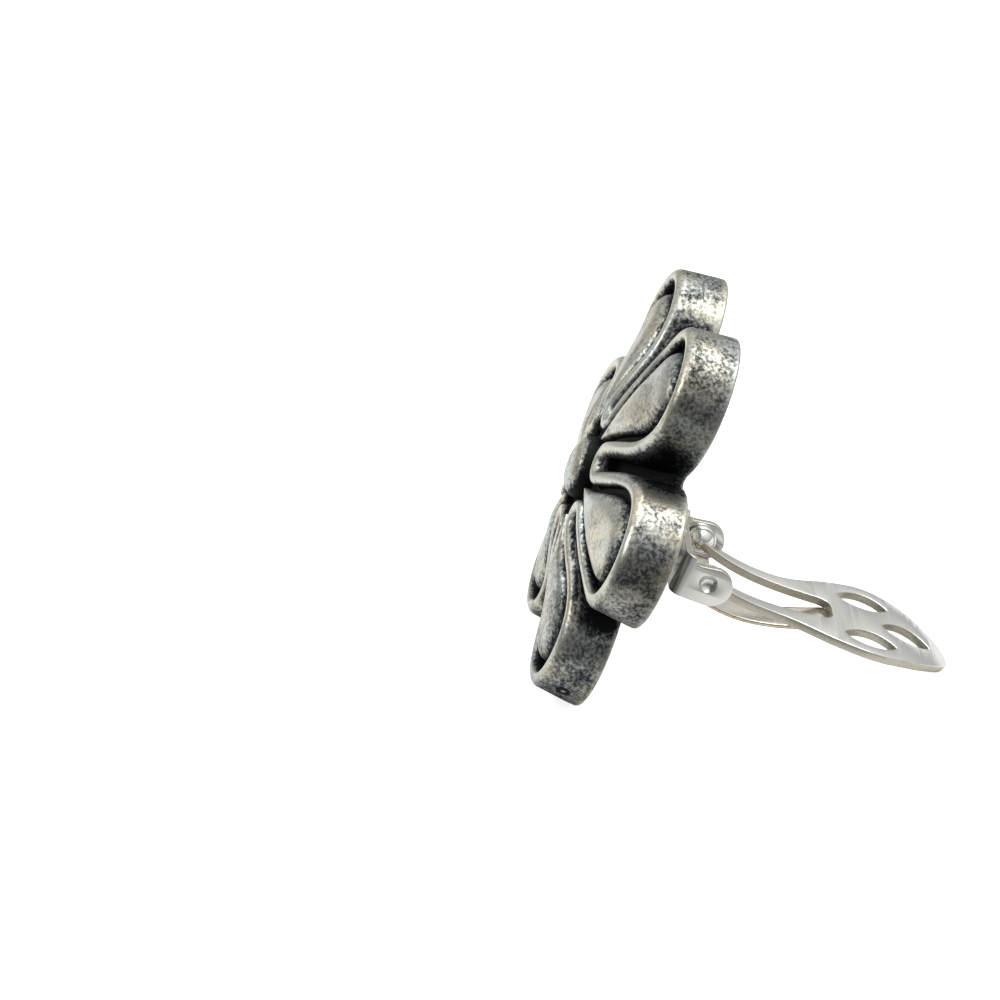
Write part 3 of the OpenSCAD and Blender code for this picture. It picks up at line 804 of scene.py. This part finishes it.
edge = [(eye_out - s * arm_waist, d * paddle_len) for d, s in arm_table]
edge += [(w * paddle_w / 2, d * paddle_len) for d, w in leaf_table] + [(tip_w / 2, paddle_len)]
right_edge = smooth_line(edge, 6)
slot_corner = np.array([slot_w / 2 - slot_r, slot_len - slot_r])
corner_arc = [slot_corner + slot_r * along(a) for a in np.linspace(0, 90, 13)]
inner_edge = [np.array([slot_in, 0.0]), *corner_arc]
outline = [*right_edge, *mirrored(right_edge), *reversed([*inner_edge, *mirrored(inner_edge)])]
side_leaf, end_leaf = paddle_len - side_leaf_back, paddle_len - end_leaf_back
lever_loops = [outline, lens(leaf_side, side_leaf), lens(-leaf_side, side_leaf), lens(0, end_leaf)]
print("lever outline:", len(outline), "points and", len(lever_loops) - 1, "cut-outs")

# %% [markdown]
# ## Press the wave into the lever
# Seen from its side, the real lever is pressed into a shallow S that follows the ear. One curve
# with four control values describes it. A lattice or a curve modifier could bend the blank as
# well, but the spring has to lie against the same curve, so a function that both call is safer.

# %% Press the lever
wave_heights = [h * wave for h in (0, -1.98, 1, -1)]


def bezier(c, t):
    """The point at t on the curve with the four control values c."""
    return c[0] * (1 - t) ** 3 + 3 * c[1] * t * (1 - t) ** 2 + 3 * c[2] * t * t * (1 - t) + c[3] * t ** 3


def sheet_y(d):
    """Height of the wave at the distance d from the hinge's axis."""
    return bezier(wave_heights, d / paddle_len)


def bend_lever(x, d, h):
    """Where the blank's point x, d, at the height h over its middle, lies once pressed."""
    slope = (sheet_y(d + 0.01) - sheet_y(d - 0.01)) / 0.02
    run = math.hypot(1, slope)
    return x, sheet_y(d) + h / run, -min(d - h * slope / run, paddle_len)


bands = [(1, d) for d in np.arange(0.3, paddle_len, 0.3)]
lever_mesh = pressed(blank("lever", lever_loops, paddle_t), bands, paddle_t, bend_lever)
print("lever:", len(lever_mesh.vertices), "vertices")

# %% [markdown]
# ## Round parts: eyes, pivots and the post
# The eyes at the arms' ends, the pivots that are pressed out of the ears and the post that
# carries the bracket are all round. One function turns a closed profile about an axis. An eye is
# a cup: a flat ring outside, and inside a polished dome that closes over the pivot's end.

# %% The turning function
def turned(profile, steps=40):
    """A solid of revolution about X from (x, radius) points, as a mesh."""
    work = bmesh.new()
    rings = []
    for k in range(steps):
        c, s = along(360 * k / steps)
        rings.append([work.verts.new((x, r * c, r * s)) for x, r in profile])
    for k in range(steps):
        a, b = rings[k], rings[(k + 1) % steps]
        for j in range(len(profile)):
            n = (j + 1) % len(profile)
            work.faces.new((a[j], a[n], b[n], b[j]))
    bmesh.ops.remove_doubles(work, verts=work.verts, dist=0.0005)
    bmesh.ops.recalc_face_normals(work, faces=work.faces)
    mesh = bpy.data.meshes.new("turned")
    work.to_mesh(mesh)
    work.free()
    return mesh


def corner(x, r, radius, start, steps=4):
    """A quarter round about the point x, r, from the angle start on by 90 degrees."""
    return [(x + radius * math.cos(a), r + radius * math.sin(a))
            for a in np.radians(np.linspace(start, start + 90, steps + 1))]


pivot_r, pivot_play, pivot_out, bore_play = 0.5, 0.05, 0.1, 0.1
dome_r, dome_h = 0.85, 0.55
hole_r = pivot_r + pivot_play
eye_round, bore_round = 0.17, 0.06
eye_in = eye_out - eye_t
ball_r = (dome_r ** 2 + dome_h ** 2) / (2 * dome_h)
ball_x = eye_in - dome_h + ball_r
dome_edge = math.degrees(math.asin(dome_r / ball_r))
dome_line = [(ball_x - ball_r * math.cos(a), ball_r * math.sin(a))
             for a in np.radians(np.linspace(dome_edge, 0, 13))]
bore_x = eye_out - eye_t - pivot_out - bore_play
eye_profile = [*corner(eye_out - eye_round, eye_r - eye_round, eye_round, 0),
               *corner(eye_in + eye_round, eye_r - eye_round, eye_round, 90),
               *dome_line, (bore_x, 0), (bore_x, hole_r),
               *corner(eye_out - bore_round, hole_r + bore_round, bore_round, 270, 2)]
print("eye:", round(eye_t, 2), "mm thick, hole", round(2 * hole_r, 2), "mm")


# %% [markdown]
# ## One lever from three parts
# On the real clip the eyes are pressed from the arms' own metal. Here the sheet and its two eyes
# are meshes of their own that lie against each other in one object. A boolean would fuse them
# too, but it would spoil the even bands that the sheet was bent with. Normals weighted by the
# area of the faces keep the flat sides flat in a mirror finish.

# %% Join the lever's parts into one piece
def joined(name, parts, matrix, material, sharp_angle=38):
    """One object from (mesh, matrix) parts, with normals weighted by face area."""
    work = bmesh.new()
    for mesh, place in parts:
        part = mesh.copy()
        part.transform(place)
        if place.determinant() < 0:
            part.flip_normals()
        work.from_mesh(part)
    whole = bpy.data.meshes.new(name)
    work.to_mesh(whole)
    work.free()
    whole.transform(matrix)
    piece = bpy.data.objects.new(name, whole)
    bpy.context.scene.collection.objects.link(piece)
    whole.materials.append(material)
    whole.shade_smooth()
    whole.set_sharp_from_angle(angle=math.radians(sharp_angle))
    weighted = piece.modifiers.new("weighted", "WEIGHTED_NORMAL")
    weighted.keep_sharp = True
    weighted.weight = 90
    return piece


mirror_x = Matrix.Scale(-1, 4, (1, 0, 0))
eye = turned(eye_profile)
lever = joined("leaf_lever", [(lever_mesh, Matrix()), (eye, Matrix()), (eye, mirror_x)],
               stand @ at_hinge, nickel)
print("leaf lever:", len(lever.data.vertices), "vertices")

# %% [markdown]
# ## The bracket
# The bracket is a narrow plate whose two ends are bent back into ears. Its blank is a strip with
# round ends, and a pivot's hole in each. The bend wraps the strip round two quarter circles. Each
# pivot is a turned plug: dished on the outside, where the punch went in, and domed on the inside,
# where the eye turns on it.

# %% Outline of the bracket's blank
ear_r, ear_drop, ear_set, ear_bend, ear_taper = 1.4, 0.15, 0.35, 0.8, 0.6
plate_back, plate_up, skirt = 3.2, 1.5, 0.4
ear_out = ear_gap / 2 + ear_t
plate_front = hinge_back - plate_back
bend_mid = ear_bend - ear_t / 2
flat_half = ear_out - ear_bend
bend_run = bend_mid * math.pi / 2
pit_r = 0.62


def blank_x(depth):
    """Where a point of an ear at that depth lies on the flat blank."""
    return flat_half + bend_run + plate_front - ear_bend - depth


def ear_top(depth):
    """Height of the ear's upper edge, which tapers towards the plate."""
    return mix(ear_r - ear_drop, ear_taper * ear_r, (depth + ear_set) / (plate_front + ear_set))


# The edge climbs from the ear to the plate in a soft S through five points.
step_depth = plate_front - ear_t - skirt
step = [(blank_x(step_depth - 0.35), ear_top(step_depth - 0.35)),
        (blank_x(step_depth - 0.12), ear_top(step_depth) + 0.08),
        (blank_x(step_depth), plate_up - 0.25),
        (blank_x(step_depth) - 0.08, plate_up - 0.06),
        (blank_x(step_depth) - 0.25, plate_up)]
ear_c = np.array([blank_x(-ear_set), -ear_drop])
ear_arc = [ear_c + ear_r * along(a) for a in np.linspace(-90, 90, 37)]
half_strip = [*ear_arc, *(np.array(q) for q in step)]
strip = [*half_strip, *mirrored(half_strip)]


def pivot_hole(side):
    return [np.array([side * blank_x(0), 0]) + pit_r * along(a) for a in range(0, 360, 9)]


def bend_bracket(x, y, h):
    """Where the strip's point x, y, at the height h over its middle, lies once bent."""
    side, far = math.copysign(1, x), abs(x)
    middle = plate_front - ear_bend
    if far <= flat_half:
        return x, y, middle + bend_mid + h
    if far <= flat_half + bend_run:
        c, s = along(math.degrees((far - flat_half) / bend_mid))
        return side * (flat_half + (bend_mid + h) * s), y, middle + (bend_mid + h) * c
    return side * (flat_half + bend_mid + h), y, middle - (far - flat_half - bend_run)


bend_cuts = [(0, side * (flat_half + bend_run * k / 10)) for side in (-1, 1) for k in range(11)]
bracket_mesh = pressed(blank("bracket", [strip, pivot_hole(1), pivot_hole(-1)], ear_t),
                       bend_cuts, ear_t, bend_bracket)
print("bracket blank is", round(2 * blank_x(-ear_set - ear_r), 2), "mm long")

# %% [markdown]
# ## The pivot plugs and the post
# The pivots are punched inwards from the ears, and the post that carries the plate has a small
# ring of weld at its foot. All three are round, so each is one profile for the turning function.
# The near and the far plug are one mesh, set once as it is and once mirrored.

# %% The pivot plugs and the post
pit_d, post_r, seat_gap = 0.35, 1.4, 0.03
pivot_end = ear_gap / 2 - eye_play - eye_t - pivot_out
end_dome, dish_power = 0.3, 0.8
plug_lap, plug_inset, dish_inset = 0.02, 0.03, 0.01
dish = [(ear_out - dish_inset - pit_d * (1 - (r / pit_r) ** 2) ** dish_power, r)
        for r in np.linspace(0, pit_r, 9)]
plug_profile = [*dish, (ear_out - plug_inset, pit_r + plug_lap),
                (ear_gap / 2 + plug_inset, pit_r + plug_lap), (ear_gap / 2, pivot_r),
                *((pivot_end + end_dome * (1 - math.sin(a)), pivot_r * math.cos(a))
                  for a in np.radians(np.linspace(0, 90, 9)))]
plug = turned(plug_profile)
weld, weld_edge = 0.12, 0.02
post_profile = [(plate_front - ear_t / 2, 0), (plate_front - ear_t / 2, post_r + weld),
                (plate_front + weld_edge, post_r + weld), (plate_front + weld_edge + weld, post_r),
                (hinge_back - seat_gap, post_r), (hinge_back - seat_gap, 0)]
post = turned(post_profile)
post_turn = Matrix.Rotation(math.radians(-90), 4, "Y")
bracket = joined("ear_bracket", [(bracket_mesh, Matrix()), (plug, Matrix()), (plug, mirror_x),
                                 (post, post_turn)], stand @ at_hinge, nickel)
print("bracket:", len(bracket.data.vertices), "vertices")

# %% [markdown]
# ## The spring's strip, in Geometry Nodes
# The spring is a narrow strip that follows a path: a curl between the ears, a bow below the arms,
# and a seat under the sheet. The path is worked out as a line of points first. The slit edge on the
# far side is painted dark copper-brown as painted shade, and the near one a paler copper tint.

# %% The spring's path
spring_w, spring_t, spring_bow, spring_gap = 2.9, 0.3, 2.0, 0.03
curl_r, curl_clear, curl_drop, curl_lap, curl_end, curl_step = 0.5, 0.2, 0.6, 1.5, -62, 8
bow_back, seat_len = 0.4, 1.6
spring_under = paddle_t / 2 + spring_t / 2 + spring_gap
plate_rear = plate_front - ear_t
curl_c = np.array([-curl_drop - curl_r, plate_rear - curl_clear - spring_t / 2 - curl_r])


def round_curl(angle):
    """The point of the curl at that angle, as y and z."""
    c, s = along(angle)
    return curl_c + curl_r * np.array([s, c])


bow_pull = 1.65 * spring_bow
start_pull, end_pull = np.array([-1, 1]) * along(curl_end), np.array([0.62, -1.4])
bow_start = round_curl(curl_end)
bow_end = np.array([sheet_y(slot_len - bow_back) - spring_under, bow_back - slot_len])
bow = [bow_start, bow_start + bow_pull * start_pull, bow_end - bow_pull * end_pull, bow_end]
path = [np.array([curl_c[0] + curl_r, curl_c[1] - curl_lap])]
path += [round_curl(a) for a in range(90, curl_end, -curl_step)]
path += [bezier(bow, t) for t in np.linspace(0, 1, 33)]
for d in (slot_len - bow_back + share * seat_len for share in (0.33, 0.67, 1.0)):
    path.append(np.array([sheet_y(d) - spring_under, -d]))
path_mesh = bpy.data.meshes.new("spring_path")
path_mesh.from_pydata([(0, y, z) for y, z in path], [(k, k + 1) for k in range(len(path) - 1)], [])
print("spring path:", len(path), "points")


# %% [markdown]
# ## Sweep the spring
# A strip could be drawn as a bevelled curve object. The tree does the same with named inputs: it
# turns the path into a curve, samples it evenly and sweeps a rounded rectangle along it. It can
# also mark the slit edges by how far across the strip a point lies, which a bevelled curve can't.

# %% Sweep the spring
def strip_tree():
    graph, given, result = new_group(
        "swept_strip", "GeometryNodeTree",
        [("Geometry", "Geometry", None), ("Width", "Float", spring_w), ("Thickness", "Float", spring_t),
         ("Edge Radius", "Float", 0.09), ("Profile Step", "Float", 0.05), ("Samples", "Int", 120),
         ("Material", "Material", None)],
        [("Geometry", "Geometry")])
    put = given.outputs
    line = graph.add("GeometryNodeMeshToCurve", {"Mesh": put["Geometry"]})
    even = graph.add("GeometryNodeResampleCurve", {"Curve": line.outputs[0], "Count": put["Samples"]})
    level = graph.add("GeometryNodeSetCurveNormal",
                      {"Curve": even.outputs[0], "Normal": (1, 0, 0)}, mode="FREE")
    section = graph.add("GeometryNodeCurvePrimitiveQuadrilateral",
                        {"Width": put["Width"], "Height": put["Thickness"]})
    rounded = graph.add("GeometryNodeFilletCurve",
                        {"Curve": section.outputs[0], "Radius": put["Edge Radius"], "Count": 3},
                        mode="POLY")
    profile = graph.add("GeometryNodeResampleCurve",
                        {"Curve": rounded.outputs[0], "Length": put["Profile Step"]}, mode="LENGTH")
    swept = graph.add("GeometryNodeCurveToMesh", {
        "Curve": level.outputs[0], "Profile Curve": profile.outputs[0], "Fill Caps": True})
    across = graph.add("ShaderNodeSeparateXYZ",
                       {0: graph.add("GeometryNodeInputPosition").outputs[0]}).outputs["X"]
    half_width = graph.math("DIVIDE", put["Width"], 2.0)
    # Painted shade: the far slit edge is painted dark copper-brown; the near edge gets a paler copper
    # tint.
    shaded_far_edge = graph.map(graph.math("ADD", half_width, across), 0.2, 0.28, 1.0, 0.0)
    pale_edge = graph.map(graph.math("SUBTRACT", half_width, across), 0.03, 0.09, 0.4, 0.0)
    edge_tint_and_shade = graph.math("ADD", shaded_far_edge, pale_edge)
    marked = graph.add("GeometryNodeStoreNamedAttribute",
                       {"Geometry": swept.outputs[0], "Name": "cut", "Value": edge_tint_and_shade},
                       data_type="FLOAT", domain="POINT")
    real = graph.add("GeometryNodeRealizeInstances", {"Geometry": marked.outputs[0]})
    dressed = graph.add("GeometryNodeSetMaterial",
                        {"Geometry": real.outputs[0], "Material": put["Material"]})
    graph.link(dressed.outputs[0], result, 0)
    return graph.tree


spring = grown(path_mesh, strip_tree(), "spring_strip", {"Material": bronze})
settle(spring, stand @ at_hinge, 50)
print("spring:", len(spring.data.vertices), "vertices,", round(spring.dimensions.x / mm, 2), "mm wide")

# %% [markdown]
# ## Which body each piece rides on
# The flower and the bracket are one body. The lever and its spring swing on the pivots.

# %% Ride and replace
for piece, body, node, slot in (
        (flower, "front", "flower", "antique_silver"),
        (bracket, "front", "clip_base", "bright_nickel"),
        (lever, "clip", "clip_paddle", "bright_nickel"),
        (spring, "clip", "spring_tongue", "spring_bronze")):
    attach(piece, body)
    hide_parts(node)

# %% [markdown]
# ## Floor, light and camera
# Polished metal shows its surroundings, so the light is part of the look. The floor is one large
# sheet of pale paper. What the camera sees of it is lighter than what the metal mirrors, and the
# mirrored paper grows darker to one side, so that the metal keeps some contrast there.

# %% Floor
def pale_floor(size):
    """A square of paper at the height 0 that reaches size metres from the middle."""
    mesh = bpy.data.meshes.new("floor")
    mesh.from_pydata([(x * size, y * size, 0) for x, y in ((-1, -1), (1, -1), (1, 1), (-1, 1))],
                     [], [(0, 1, 2, 3)])
    floor = bpy.data.objects.new("floor", mesh)
    bpy.context.scene.collection.objects.link(floor)
    material, graph, shader, place = new_material("pale paper", 0.0)
    shader.inputs["Roughness"].default_value = 0.9
    side = graph.add("ShaderNodeSeparateXYZ", {0: place}).outputs["X"]
    reflected = graph.map(side, 8 * mm, 30 * mm, 0.72, 0.2)
    seen = graph.add("ShaderNodeLightPath").outputs["Is Camera Ray"]
    tone = graph.add("ShaderNodeMix", {"Factor": seen, "A": reflected, "B": 0.9}, data_type="FLOAT")
    graph.link(tone.outputs[0], shader, "Base Color")
    graph.link(graph.math("MULTIPLY", seen, 0.75), shader, "Emission Color")
    shader.inputs["Emission Strength"].default_value = 1.0
    shader.inputs["Specular IOR Level"].default_value = 0.1
    mesh.materials.append(material)
    return floor


floor = pale_floor(1.5)
print("floor:", round(floor.dimensions.x, 1), "m wide")

# %% [markdown]
# ## Sky and softboxes
# A jeweller's photograph is lit through a white tent. A plain white world would do the same, but
# it would leave the metal without any form. This sky is bright overhead and dim at the horizon,
# and dimmer still to one side, which gives the walls their light tops and dark middles. The sky
# that the camera itself sees is plain and pale. Two large soft lights add the broad highlights.

# %% Sky and softboxes
def sky():
    world = bpy.data.worlds.new("sky")
    world.use_nodes = True
    bpy.context.scene.world = world
    graph = Graph(world.node_tree)
    graph.tree.nodes.clear()
    direction = graph.add("ShaderNodeTexCoord").outputs["Generated"]
    parts = graph.add("ShaderNodeSeparateXYZ", {0: direction}).outputs
    towards = graph.math("SUBTRACT", graph.math("MULTIPLY", parts["X"], 0.8),
                         graph.math("MULTIPLY", parts["Y"], 0.6))
    dim_side = graph.map(towards, -0.1, 0.8)
    height = graph.math("SUBTRACT", parts["Z"], graph.math("MULTIPLY", dim_side, 0.4))
    shade = ramp(graph, graph.math("ADD", height, 0.35), [
        (0.0, (0.05, 0.05, 0.055)), (0.35, (0.36, 0.36, 0.37)), (0.65, (0.62, 0.62, 0.62)),
        (1.0, (0.9, 0.9, 0.9))])
    seen = graph.add("ShaderNodeBackground", {"Color": (1, 1, 1, 1), "Strength": 1.0})
    felt = graph.add("ShaderNodeBackground", {"Color": shade, "Strength": 0.95})
    camera_ray = graph.add("ShaderNodeLightPath").outputs["Is Camera Ray"]
    both = graph.add("ShaderNodeMixShader", {0: camera_ray, 1: felt.outputs[0], 2: seen.outputs[0]})
    graph.add("ShaderNodeOutputWorld", {"Surface": both.outputs[0]})


def softbox(name, place, size, power):
    """A square area light at place, in metres, that looks at the object."""
    light = bpy.data.lights.new(name, "AREA")
    light.size, light.energy = size, power
    lamp = bpy.data.objects.new(name, light)
    lamp.location = place
    lamp.rotation_mode = "QUATERNION"
    lamp.rotation_quaternion = (Vector((0, 0, 0.01)) - Vector(place)).to_track_quat("-Z", "Y")
    bpy.context.scene.collection.objects.link(lamp)


sky()
softbox("overhead", (-0.02, 0.03, 0.45), 0.42, 1.7)
softbox("front_left", (0.10, -0.38, 0.30), 0.22, 0.5)

# %% [markdown]
# ## The camera
# A long lens looks down at the earring from its side. Azimuth, elevation and roll are named, and
# the aim is the point that lies in the middle of the picture.

# %% Camera
camera_azimuth, camera_elevation, camera_roll = 88.642, 24.933, 1.876
camera_distance, camera_lens = 208.53 * mm, 111.94
aim = Vector((0.156, -16.643, 12.128)) * mm


def long_camera():
    data = bpy.data.cameras.new("camera")
    data.lens, data.sensor_width = camera_lens, 36.0
    data.clip_start, data.clip_end = 0.01, 10.0
    camera = bpy.data.objects.new("camera", data)
    a, e = math.radians(camera_azimuth), math.radians(camera_elevation)
    back = Vector((math.sin(a) * math.cos(e), -math.cos(a) * math.cos(e), math.sin(e)))
    camera.location = aim + camera_distance * back
    turn = (-back).to_track_quat("-Z", "Y")
    camera.rotation_mode = "QUATERNION"
    roll = Matrix.Rotation(math.radians(camera_roll), 4, "Z").to_quaternion()
    camera.rotation_quaternion = turn @ roll
    bpy.context.scene.collection.objects.link(camera)
    return camera


bpy.context.scene.camera = long_camera()
bpy.context.scene.view_settings.view_transform = "Standard"
print("camera at", [round(c, 3) for c in bpy.context.scene.camera.location])

# %% [markdown]
# ## Finish
# The dressed pieces have to stay inside the box of the solids, because the solids carry the
# collision shapes.

# %% Finish
bpy.context.view_layer.update()
